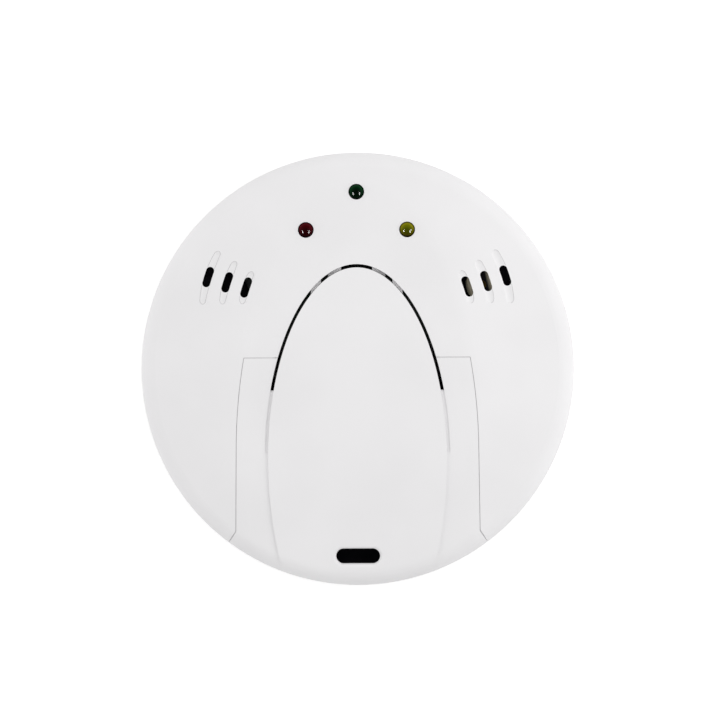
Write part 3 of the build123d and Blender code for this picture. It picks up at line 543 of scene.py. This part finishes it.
def scoop_ring(side, half):
    """The flat outline of one scoop, drawn out by half its length each way from the origin."""
    bpy.ops.mesh.primitive_circle_add(vertices=48, radius=SCOOP_RADIUS)
    outline = bpy.context.object
    bpy.ops.object.mode_set(mode="EDIT")
    ring = bmesh.from_edit_mesh(outline.data)
    for sign in (-1, 1):
        for vertex in ring.verts:
            vertex.select = vertex.co.y * sign > ON_AXIS
        bpy.ops.transform.translate(value=(0, sign * half, 0))
    for made in ring.edges:
        made.select = made.calc_length() > SCOOP_RADIUS
    bpy.ops.mesh.subdivide(number_cuts=40)
    ring = bmesh.from_edit_mesh(outline.data)
    for vertex in ring.verts:
        vertex.select = abs(vertex.co.y) < SLOT_HALF or vertex.co.x * side < -CLEAR_INSIDE[side]
    ring.select_flush(True)
    bpy.ops.mesh.delete(type="VERT")
    bpy.ops.object.mode_set(mode="OBJECT")
    return outline


print("scoop", round(2 * SCOOP_RADIUS / MM, 2), "mm wide")

# %% [markdown]
# Three scoops lean outwards on each side, each further out and longer than the last. Six rings could be
# placed by hand, but their ends lie on even steps, so two steps and a mirror place them all. Each ring is
# bowed as the scoop is, narrowed towards its ends, dropped on the cover and half sunk into it.

# %% Scoop outlines
TOP_X, TOP_Y, TOP_STEP_X, TOP_STEP_Y = 32.85 * MM, 29.2 * MM, 5.2 * MM, 3.2 * MM
FOOT_X, FOOT_Y, FOOT_STEP_X = 35.4 * MM, 21.4 * MM, 6.2 * MM
BOW_RADIUS = 47.0 * MM
HAIRLINE = 0.09 * MM
TAPER = 0.2
outlines = []
for side in (-1, 1):
    for index in range(3):
        top = Vector((side * (TOP_X + index * TOP_STEP_X), TOP_Y + index * TOP_STEP_Y))
        foot = Vector((side * (FOOT_X + index * FOOT_STEP_X), FOOT_Y))
        along = (top - foot).normalized()
        outward = Vector((side * along.y, -side * along.x))
        half = (top - foot).length / 2
        outline = scoop_ring(side, half)
        for vertex in outline.data.vertices:
            x, y, z = vertex.co
            bow = (BOW_RADIUS**2 - y**2) ** 0.5 - (BOW_RADIUS**2 - half**2) ** 0.5
            x *= 1 - TAPER * (y / half) ** 2
            spot = (top + foot) / 2 + along * y + outward * (x + bow)
            vertex.co = (spot.x, spot.y, face_height("front_cover", *spot) - HAIRLINE / 2)
        round_wire(outline, HAIRLINE, 1)
        outlines.append(outline)
print("scoops outlined", len(outlines))

# %% [markdown]
# The seam between the cover and the battery door looks grey and not black, because a lip of the same plastic
# lies close under it. A bare gap would render black, so a thin bead is laid in it, and its grey is painted
# shade: the seam's shade as it looks with the lit lip below. It could be swept along a drawn path, but a
# ring of points, opened and laid along the plan, needs no curve object to start from.

# %% Bead helper
BEAD = 0.1 * MM


def lay_bead(plan, aside, sink):
    """A round bead along (x, y) points, sunk under the cover's face, whose height is read to one side."""
    bpy.ops.mesh.primitive_circle_add(vertices=len(plan), radius=10 * MM)
    bead = bpy.context.object
    bpy.ops.object.mode_set(mode="EDIT")
    ring = bmesh.from_edit_mesh(bead.data)
    for made in ring.edges:
        made.select = {vertex.index for vertex in made.verts} == {0, len(plan) - 1}
    bpy.ops.mesh.delete(type="EDGE")
    bpy.ops.object.mode_set(mode="OBJECT")
    for vertex, (x, y) in zip(bead.data.vertices, plan):
        vertex.co = (x, y, face_height("front_cover", x + aside[0], y + aside[1]) - sink)
    round_wire(bead, BEAD, 2)
    return bead


print("bead", 2 * BEAD / MM, "mm thick")

# %% [markdown]
# The bead follows the door's outline down each side: level from the tongue to the shoulder, round the
# elliptical shoulder, and straight to where the seam flares out over the rim. The door drops away into the
# seam, so the height is read a little to the cover's side of it, and one side is the other mirrored.

# %% Seam beads
DOOR_TOP, DOOR_WIDE, DOOR_HALF, DOOR_REACH = 3.5 * MM, -26.0 * MM, 37.6 * MM, 81.5 * MM
DOOR_FLARE, DOOR_SPREAD = -50.3 * MM, 0.3 * MM
TONGUE_SIDE = 25.6 * MM
TOP_STEPS, SHOULDER_STEPS, FLANK_STEPS = 12, 40, 20
BESIDE = 0.4 * MM
TOP_SINK, FLANK_SINK = 0.03 * MM, 0.12 * MM
shoulder = asin((DOOR_TOP - DOOR_WIDE) / DOOR_REACH)
shoulder_x = DOOR_HALF * cos(shoulder)
for side in (-1, 1):
    level_run = [
        (side * (TONGUE_SIDE + (shoulder_x - TONGUE_SIDE) * i / TOP_STEPS), DOOR_TOP)
        for i in range(TOP_STEPS + 1)
    ]
    turns = [shoulder * (1 - i / SHOULDER_STEPS) for i in range(SHOULDER_STEPS)]
    flank = [(side * DOOR_HALF * cos(turn), DOOR_WIDE + DOOR_REACH * sin(turn)) for turn in turns]
    for i in range(FLANK_STEPS + 1):
        out = DOOR_HALF + DOOR_SPREAD * i / FLANK_STEPS
        flank.append((side * out, DOOR_WIDE + (DOOR_FLARE - DOOR_WIDE) * i / FLANK_STEPS))
    outlines.append(lay_bead(level_run, (0, BESIDE), TOP_SINK))
    outlines.append(lay_bead(flank, (side * BESIDE, 0), FLANK_SINK))
print("seam beads", len(level_run) + len(flank), "points a side")

# %% [markdown]
# Hairlines and beads could stay ten objects, but they are one finish on one body, so they are joined. Their
# light grey against the white is painted shade: the shade at the scoops' edges and in the seam.

# %% Hairline finish
hairlines = join(outlines, "face_hairlines")
bpy.ops.object.shade_smooth()
# Painted shade: a light grey for the shade at the scoops' edges and in the seam.
painted_line, painted_line_shader = new_material("painted_shade_line", "#bdbdbd", 0.6, Specular_IOR_Level=SHELL_GLOSS)
mottle(painted_line, painted_line_shader, ["#c2c1c2", "#b8b7b8"], 2 * MM)
hairlines.data.materials.append(painted_line)
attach(hairlines, "alarm")
print("hairlines", len(hairlines.data.polygons), "faces")

# %% [markdown]
# Below its free end the tongue is joined to the door, and the slit goes on down each side as a groove. A
# pale strip, a little under the face, makes its shallow floor. A round bead would show an outline down both
# its sides, so the strip is flat: a grid of one column, which is bent along the groove, dropped under the
# face and given its thickness. It rides on the door.

# %% Groove strips
TONGUE_WIDE, TONGUE_HALF, TONGUE_REACH = -28.0 * MM, 27.7 * MM, 59.4 * MM
SLIT = 1.05 * MM
GROOVE_TOP, GROOVE_FOOT = -6.9 * MM, -25.95 * MM
STRIP_SINK = 0.3 * MM
STRIP_THICKNESS = 0.2 * MM
strips = []
for side in (-1, 1):
    bpy.ops.mesh.primitive_grid_add(x_subdivisions=1, y_subdivisions=24, size=2)
    strip = bpy.context.object
    for vertex in strip.data.vertices:
        column, row = vertex.co.x, (vertex.co.y + 1) / 2
        y = GROOVE_FOOT + (GROOVE_TOP - GROOVE_FOOT) * row
        edge_x = TONGUE_HALF * (1 - ((y - TONGUE_WIDE) / TONGUE_REACH) ** 2) ** 0.5
        height = face_height("battery_door", side * (edge_x + 2 * SLIT), y)
        vertex.co = (side * (edge_x + SLIT / 2) + column * SLIT / 2, y, height - STRIP_SINK)
    body = strip.modifiers.new("body", "SOLIDIFY")
    body.thickness = STRIP_THICKNESS
    bpy.ops.object.modifier_apply(modifier="body")
    strips.append(strip)
strip = join(strips, "groove_strips")
strip.data.materials.append(shell)
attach(strip, "door")
print("groove strips", len(strip.data.polygons), "faces")

# %% [markdown]
# Metals: zinc-plated screws with a faint mottled grain, a drawn steel hinge pin, spring contacts in bright
# nickel, tinned leads and a pressed brass disc. Each could be a material of its own, but they differ only
# in colour and gloss, so a table holds both. A metal's colour is its reflection, and each one keeps the
# default IOR. The grain is drawn at a third of a millimetre, coarser than real, so that it shows.

# %% Metals
METALS = {
    "zinc_plated_steel": (["#c3c6cb", "#aeb0b3"], 0.28, 0.4, ["case_screws", "board_screws"]),
    "drawn_steel": (["#b4b4b6", "#a2a2a5"], 0.22, 0.34, ["hinge_pin"]),
    "bright_nickel": (
        ["#d3cfc6", "#c1bdb2"], 0.14, 0.28, ["positive_contact", "negative_contact", "link_contacts"]
    ),
    "tinned_copper": (["#cfcfcd", "#b9b8b3"], 0.25, 0.38, ["led_legs"]),
    "pressed_brass": (["#8f7440", "#7a6236"], 0.3, 0.45, ["piezo_disc"]),
}
for name, (colours, smooth, dull, piece_names) in METALS.items():
    metal, metal_shader = new_material(name, colours[0], smooth, Metallic=1.0)
    mottle(metal, metal_shader, colours, 2.5 * MM)
    skin(metal, metal_shader, 0.35 * MM, 0.002 * MM, smooth, dull)
    wear(metal, *piece_names)

# %% [markdown]
# An AA cell is a steel can in a printed shrink sleeve. The sleeve covers the side and curls over the edge
# of both ends, and a plastic ring insulates the positive nub. The sleeve could be a second mesh, but it is
# a tenth of a millimetre thick, so colour and metal change by distance from the cell's axis instead. The
# sleeve carries plain bands of colour along its length, and every second cell faces the other way.

# %% Cells
BAND_HALF = 25 * MM
SLEEVE_CURL = 6.0 * MM
NUB_RADIUS = 3.2 * MM
FRONT_END = 0.9


def cell_sleeve(name, centre, facing):
    """A cell's sleeve, bare steel ends and insulating ring, about the cell's own axis."""
    wrap, wrap_shader = new_material(name, "#27333d", 0.3)
    radial = from_line(wrap, centre, (0, 1, 1))
    parts = node(wrap, "ShaderNodeSeparateXYZ", [(from_centre(wrap, centre), "Vector", 0)])
    along = node(
        wrap,
        "ShaderNodeMapRange",
        [(parts, "X", "Value")],
        {"From Min": -BAND_HALF * facing, "From Max": BAND_HALF * facing},
    )
    bands = node(
        wrap,
        "ShaderNodeValToRGB",
        [(along, "Result", "Fac")],
        stops=[(0.0, "#b9bec2"), (0.1, "#27333d"), (0.74, "#5f8f97"), (0.78, "#b9bec2")],
    )
    bands.color_ramp.interpolation = "CONSTANT"
    sleeve = node(
        wrap, "ShaderNodeMath", [(radial, "Value", 0)], {1: SLEEVE_CURL}, operation="GREATER_THAN"
    )
    ring = node(wrap, "ShaderNodeMath", [(radial, "Value", 0)], {1: NUB_RADIUS}, operation="GREATER_THAN")
    front = node(wrap, "ShaderNodeMath", [(along, "Result", 0)], {1: FRONT_END}, operation="GREATER_THAN")
    gasket = node(wrap, "ShaderNodeMath", [(ring, 0, 0), (front, 0, 1)], operation="MULTIPLY")
    end = node(
        wrap,
        "ShaderNodeMix",
        [(gasket, 0, "Factor")],
        {6: linear("#c9c8c4"), 7: linear("#22201f")},
        data_type="RGBA",
    )
    colour = node(
        wrap, "ShaderNodeMix", [(sleeve, 0, "Factor"), (end, 2, 6), (bands, 0, 7)], data_type="RGBA"
    )
    plain = node(wrap, "ShaderNodeMath", [(sleeve, 0, 0), (gasket, 0, 1)], operation="MAXIMUM")
    bare = node(wrap, "ShaderNodeMath", [(plain, 0, 1)], {0: 1.0}, operation="SUBTRACT")
    connect(wrap, colour, 2, wrap_shader, "Base Color")
    connect(wrap, bare, 0, wrap_shader, "Metallic")
    skin(wrap, wrap_shader, 1.2 * MM, 0.006 * MM, 0.22, 0.34)
    return wrap


for index in (1, 2, 3):
    name = f"battery_{index}"
    facing = 1 if index % 2 else -1
    wear(cell_sleeve(f"cell_sleeve_{index}", middle(name), facing), name)

# %% [markdown]
# The board is glass-fibre laminate under green solder mask. Copper tracks show through the mask as paler
# lines on a regular grid, and bare pads are tinned. Tracks could be drawn one by one, but a brick pattern at
# the grid of a tenth of an inch gives the same look, and a cell pattern places the pads.

# %% Board
GRID = 2.54 * MM
TRACK = 0.2 * MM
PAD_SPACING = 5 * MM
PAD_SHARE = 0.16
board, board_shader = new_material("solder_masked_laminate", "#0e3a24", 0.32, IOR=1.5)
place = node(board, "ShaderNodeTexCoord")
tracks = node(
    board,
    "ShaderNodeTexBrick",
    [(place, "Object", "Vector")],
    {
        "Scale": 1.0,
        "Color1": linear("#0e3a24"),
        "Color2": linear("#0c3320"),
        "Mortar": linear("#1f5f3c"),
        "Brick Width": 5 * GRID,
        "Row Height": GRID,
        "Mortar Size": TRACK,
    },
)
cells = node(
    board,
    "ShaderNodeTexVoronoi",
    [(place, "Object", "Vector")],
    {"Scale": 1 / PAD_SPACING, "Randomness": 0.6},
)
pads = node(board, "ShaderNodeMath", [(cells, "Distance", 0)], {1: PAD_SHARE}, operation="LESS_THAN")
board_colour = node(
    board,
    "ShaderNodeMix",
    [(pads, 0, "Factor"), (tracks, "Color", 6)],
    {7: linear("#b9b8b0")},
    data_type="RGBA",
)
connect(board, board_colour, 2, board_shader, "Base Color")
skin(board, board_shader, 0.8 * MM, 0.006 * MM, 0.28, 0.4)
wear(board, "circuit_board")

# %% [markdown]
# The chip is moulded in black epoxy, with tinned legs along two sides. Body and legs are one solid, so the
# material tells them apart by their distance from the chip's middle plane.

# %% Chip
CHIP_HALF = 3.76 * MM
chip, chip_shader = new_material("moulded_epoxy_chip", "#17181a", 0.55)
legs_from = from_line(chip, middle("alarm_chip"), (0, 1, 0))
legs = node(chip, "ShaderNodeMath", [(legs_from, "Value", 0)], {1: CHIP_HALF}, operation="GREATER_THAN")
chip_colour = node(
    chip,
    "ShaderNodeMix",
    [(legs, 0, "Factor")],
    {6: linear("#17181a"), 7: linear("#c9c8c4")},
    data_type="RGBA",
)
connect(chip, chip_colour, 2, chip_shader, "Base Color")
connect(chip, legs, 0, chip_shader, "Metallic")
skin(chip, chip_shader, 0.3 * MM, 0.004 * MM, 0.4, 0.6)
wear(chip, "alarm_chip")

# %% [markdown]
# The capacitor is an aluminium can in a dark shrink sleeve, with a pale stripe for its negative side. The
# top is bare metal. Stripe and top are found by distance too, one from the can's middle plane and one from
# its top, so that the solid stays whole.

# %% Capacitor
TOP_BAND = 0.3 * MM
STRIPE_HALF = 1.2 * MM
can_low, can_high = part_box("capacitor")
can, can_shader = new_material("sleeved_capacitor", "#1b2430", 0.35)
top_from = from_line(can, (0, 0, can_high[2]), (0, 0, 1))
can_top = node(can, "ShaderNodeMath", [(top_from, "Value", 0)], {1: TOP_BAND}, operation="LESS_THAN")
stripe_from = from_line(can, middle("capacitor"), (0, 1, 0))
stripe = node(can, "ShaderNodeMath", [(stripe_from, "Value", 0)], {1: STRIPE_HALF}, operation="LESS_THAN")
sleeve_colour = node(
    can,
    "ShaderNodeMix",
    [(stripe, 0, "Factor")],
    {6: linear("#1b2430"), 7: linear("#9aa3ad")},
    data_type="RGBA",
)
can_colour = node(
    can,
    "ShaderNodeMix",
    [(can_top, 0, "Factor"), (sleeve_colour, 2, 6)],
    {7: linear("#c4c6c8")},
    data_type="RGBA",
)
connect(can, can_colour, 2, can_shader, "Base Color")
connect(can, can_top, 0, can_shader, "Metallic")
skin(can, can_shader, 0.8 * MM, 0.006 * MM, 0.25, 0.4)
wear(can, "capacitor")

# %% [markdown]
# The sounder's coil is enamelled copper wire on a black ferrite bobbin. Its turns could be swept as a
# helix, but the wire is a quarter of a millimetre thick, so a wave pattern draws them. Each wave is about
# six wires wide, coarser than real, so that it shows. The wave texture has 20 waves in 2 pi at a scale of
# one. The flanges are what lies further from the middle plane than the winding.

# %% Coil
WIRE = 0.25 * MM
WAVE_WIDTH = 2 * pi * WIRE
WINDING_HALF = 2.25 * MM
coil, coil_shader = new_material("enamelled_winding", "#8a4a20", 0.35)
core_from = from_line(coil, middle("sounder_coil"), (0, 0, 1))
flange = node(
    coil, "ShaderNodeMath", [(core_from, "Value", 0)], {1: WINDING_HALF}, operation="GREATER_THAN"
)
place = node(coil, "ShaderNodeTexCoord")
turns = node(
    coil,
    "ShaderNodeTexWave",
    [(place, "Object", "Vector")],
    {"Scale": 2 * pi / (20 * WAVE_WIDTH)},
    bands_direction="Z",
)
wire = node(coil, "ShaderNodeValToRGB", [(turns, "Fac", "Fac")], stops=[(0.2, "#5a2d12"), (0.8, "#a85e2c")])
coil_colour = node(
    coil,
    "ShaderNodeMix",
    [(flange, 0, "Factor"), (wire, "Color", 6)],
    {7: linear("#1f1f21")},
    data_type="RGBA",
)
connect(coil, coil_colour, 2, coil_shader, "Base Color")
skin(coil, coil_shader, 0.3 * MM, 0.01 * MM, 0.3, 0.5)
wear(coil, "sounder_coil")

# %% [markdown]
# The resistors are black thick-film chips with tinned ends, in two rows. A distance from the rows' own
# lines finds the ends: how far a point is from the middle plane, less the rows' distance, without its sign.

# %% Resistors
ROW_REACH = 2.0 * MM
BLACK_HALF = 0.62 * MM
chip_resistor, resistor_shader = new_material("thick_film_resistor", "#1a1a1c", 0.4)
row_from = from_line(chip_resistor, middle("resistors"), (0, 1, 0))
in_row = node(
    chip_resistor, "ShaderNodeMath", [(row_from, "Value", 0)], {1: ROW_REACH}, operation="SUBTRACT"
)
from_middle = node(chip_resistor, "ShaderNodeMath", [(in_row, 0, 0)], operation="ABSOLUTE")
tinned = node(
    chip_resistor, "ShaderNodeMath", [(from_middle, 0, 0)], {1: BLACK_HALF}, operation="GREATER_THAN"
)
resistor_colour = node(
    chip_resistor,
    "ShaderNodeMix",
    [(tinned, 0, "Factor")],
    {6: linear("#1a1a1c"), 7: linear("#c9c8c4")},
    data_type="RGBA",
)
connect(chip_resistor, resistor_colour, 2, resistor_shader, "Base Color")
connect(chip_resistor, tinned, 0, resistor_shader, "Metallic")
skin(chip_resistor, resistor_shader, 0.2 * MM, 0.003 * MM, 0.3, 0.45)
wear(chip_resistor, "resistors")

# %% [markdown]
# The push switch and its plunger are moulded in black nylon, which is a little glossier and greyer than the
# tray's ABS. It is small and shaded, so a plain drift of colour and a fine grain are enough.

# %% Switch
switch, switch_shader = new_material("nylon_switch_body", "#202124", 0.5)
mottle(switch, switch_shader, ["#222326", "#1b1c1e"], 4 * MM)
skin(switch, switch_shader, 0.3 * MM, 0.004 * MM, 0.45, 0.6)
wear(switch, "test_switch", "switch_plunger")

# %% [markdown]
# The floor is matt white paper. More light would make it white and bleach the case with it, so it glows a
# little instead, and only for what looks at it: the camera, and rays mirrored by metal or bent by resin.
# The light that it throws back on the case stays that of paper, and the case's shadow stays on it.

# %% Floor
FLOOR_SIZE = 6.0
GLOW = 0.35
bpy.ops.mesh.primitive_plane_add(size=FLOOR_SIZE, location=(0, 0, 0))
floor = bpy.context.object
floor.name = "floor"
paper, paper_shader = new_material("paper", "#f4f4f4", 0.9, Specular_IOR_Level=0.0)
ray = node(paper, "ShaderNodeLightPath")
mirrored = node(
    paper,
    "ShaderNodeMath",
    [(ray, "Is Glossy Ray", 0), (ray, "Is Transmission Ray", 1)],
    operation="MAXIMUM",
)
seen = node(paper, "ShaderNodeMath", [(ray, "Is Camera Ray", 0), (mirrored, 0, 1)], operation="MAXIMUM")
glow = node(paper, "ShaderNodeEmission", inputs={"Color": linear("#ffffff"), "Strength": GLOW})
lit = node(paper, "ShaderNodeAddShader", [(glow, "Emission", 0), (paper_shader, "BSDF", 1)])
mix = node(
    paper, "ShaderNodeMixShader", [(seen, 0, "Fac"), (paper_shader, "BSDF", 1), (lit, "Shader", 2)]
)
connect(paper, mix, "Shader", paper.node_tree.nodes["Material Output"], "Surface")
floor.data.materials.append(paper)
print("floor", FLOOR_SIZE, "m wide")
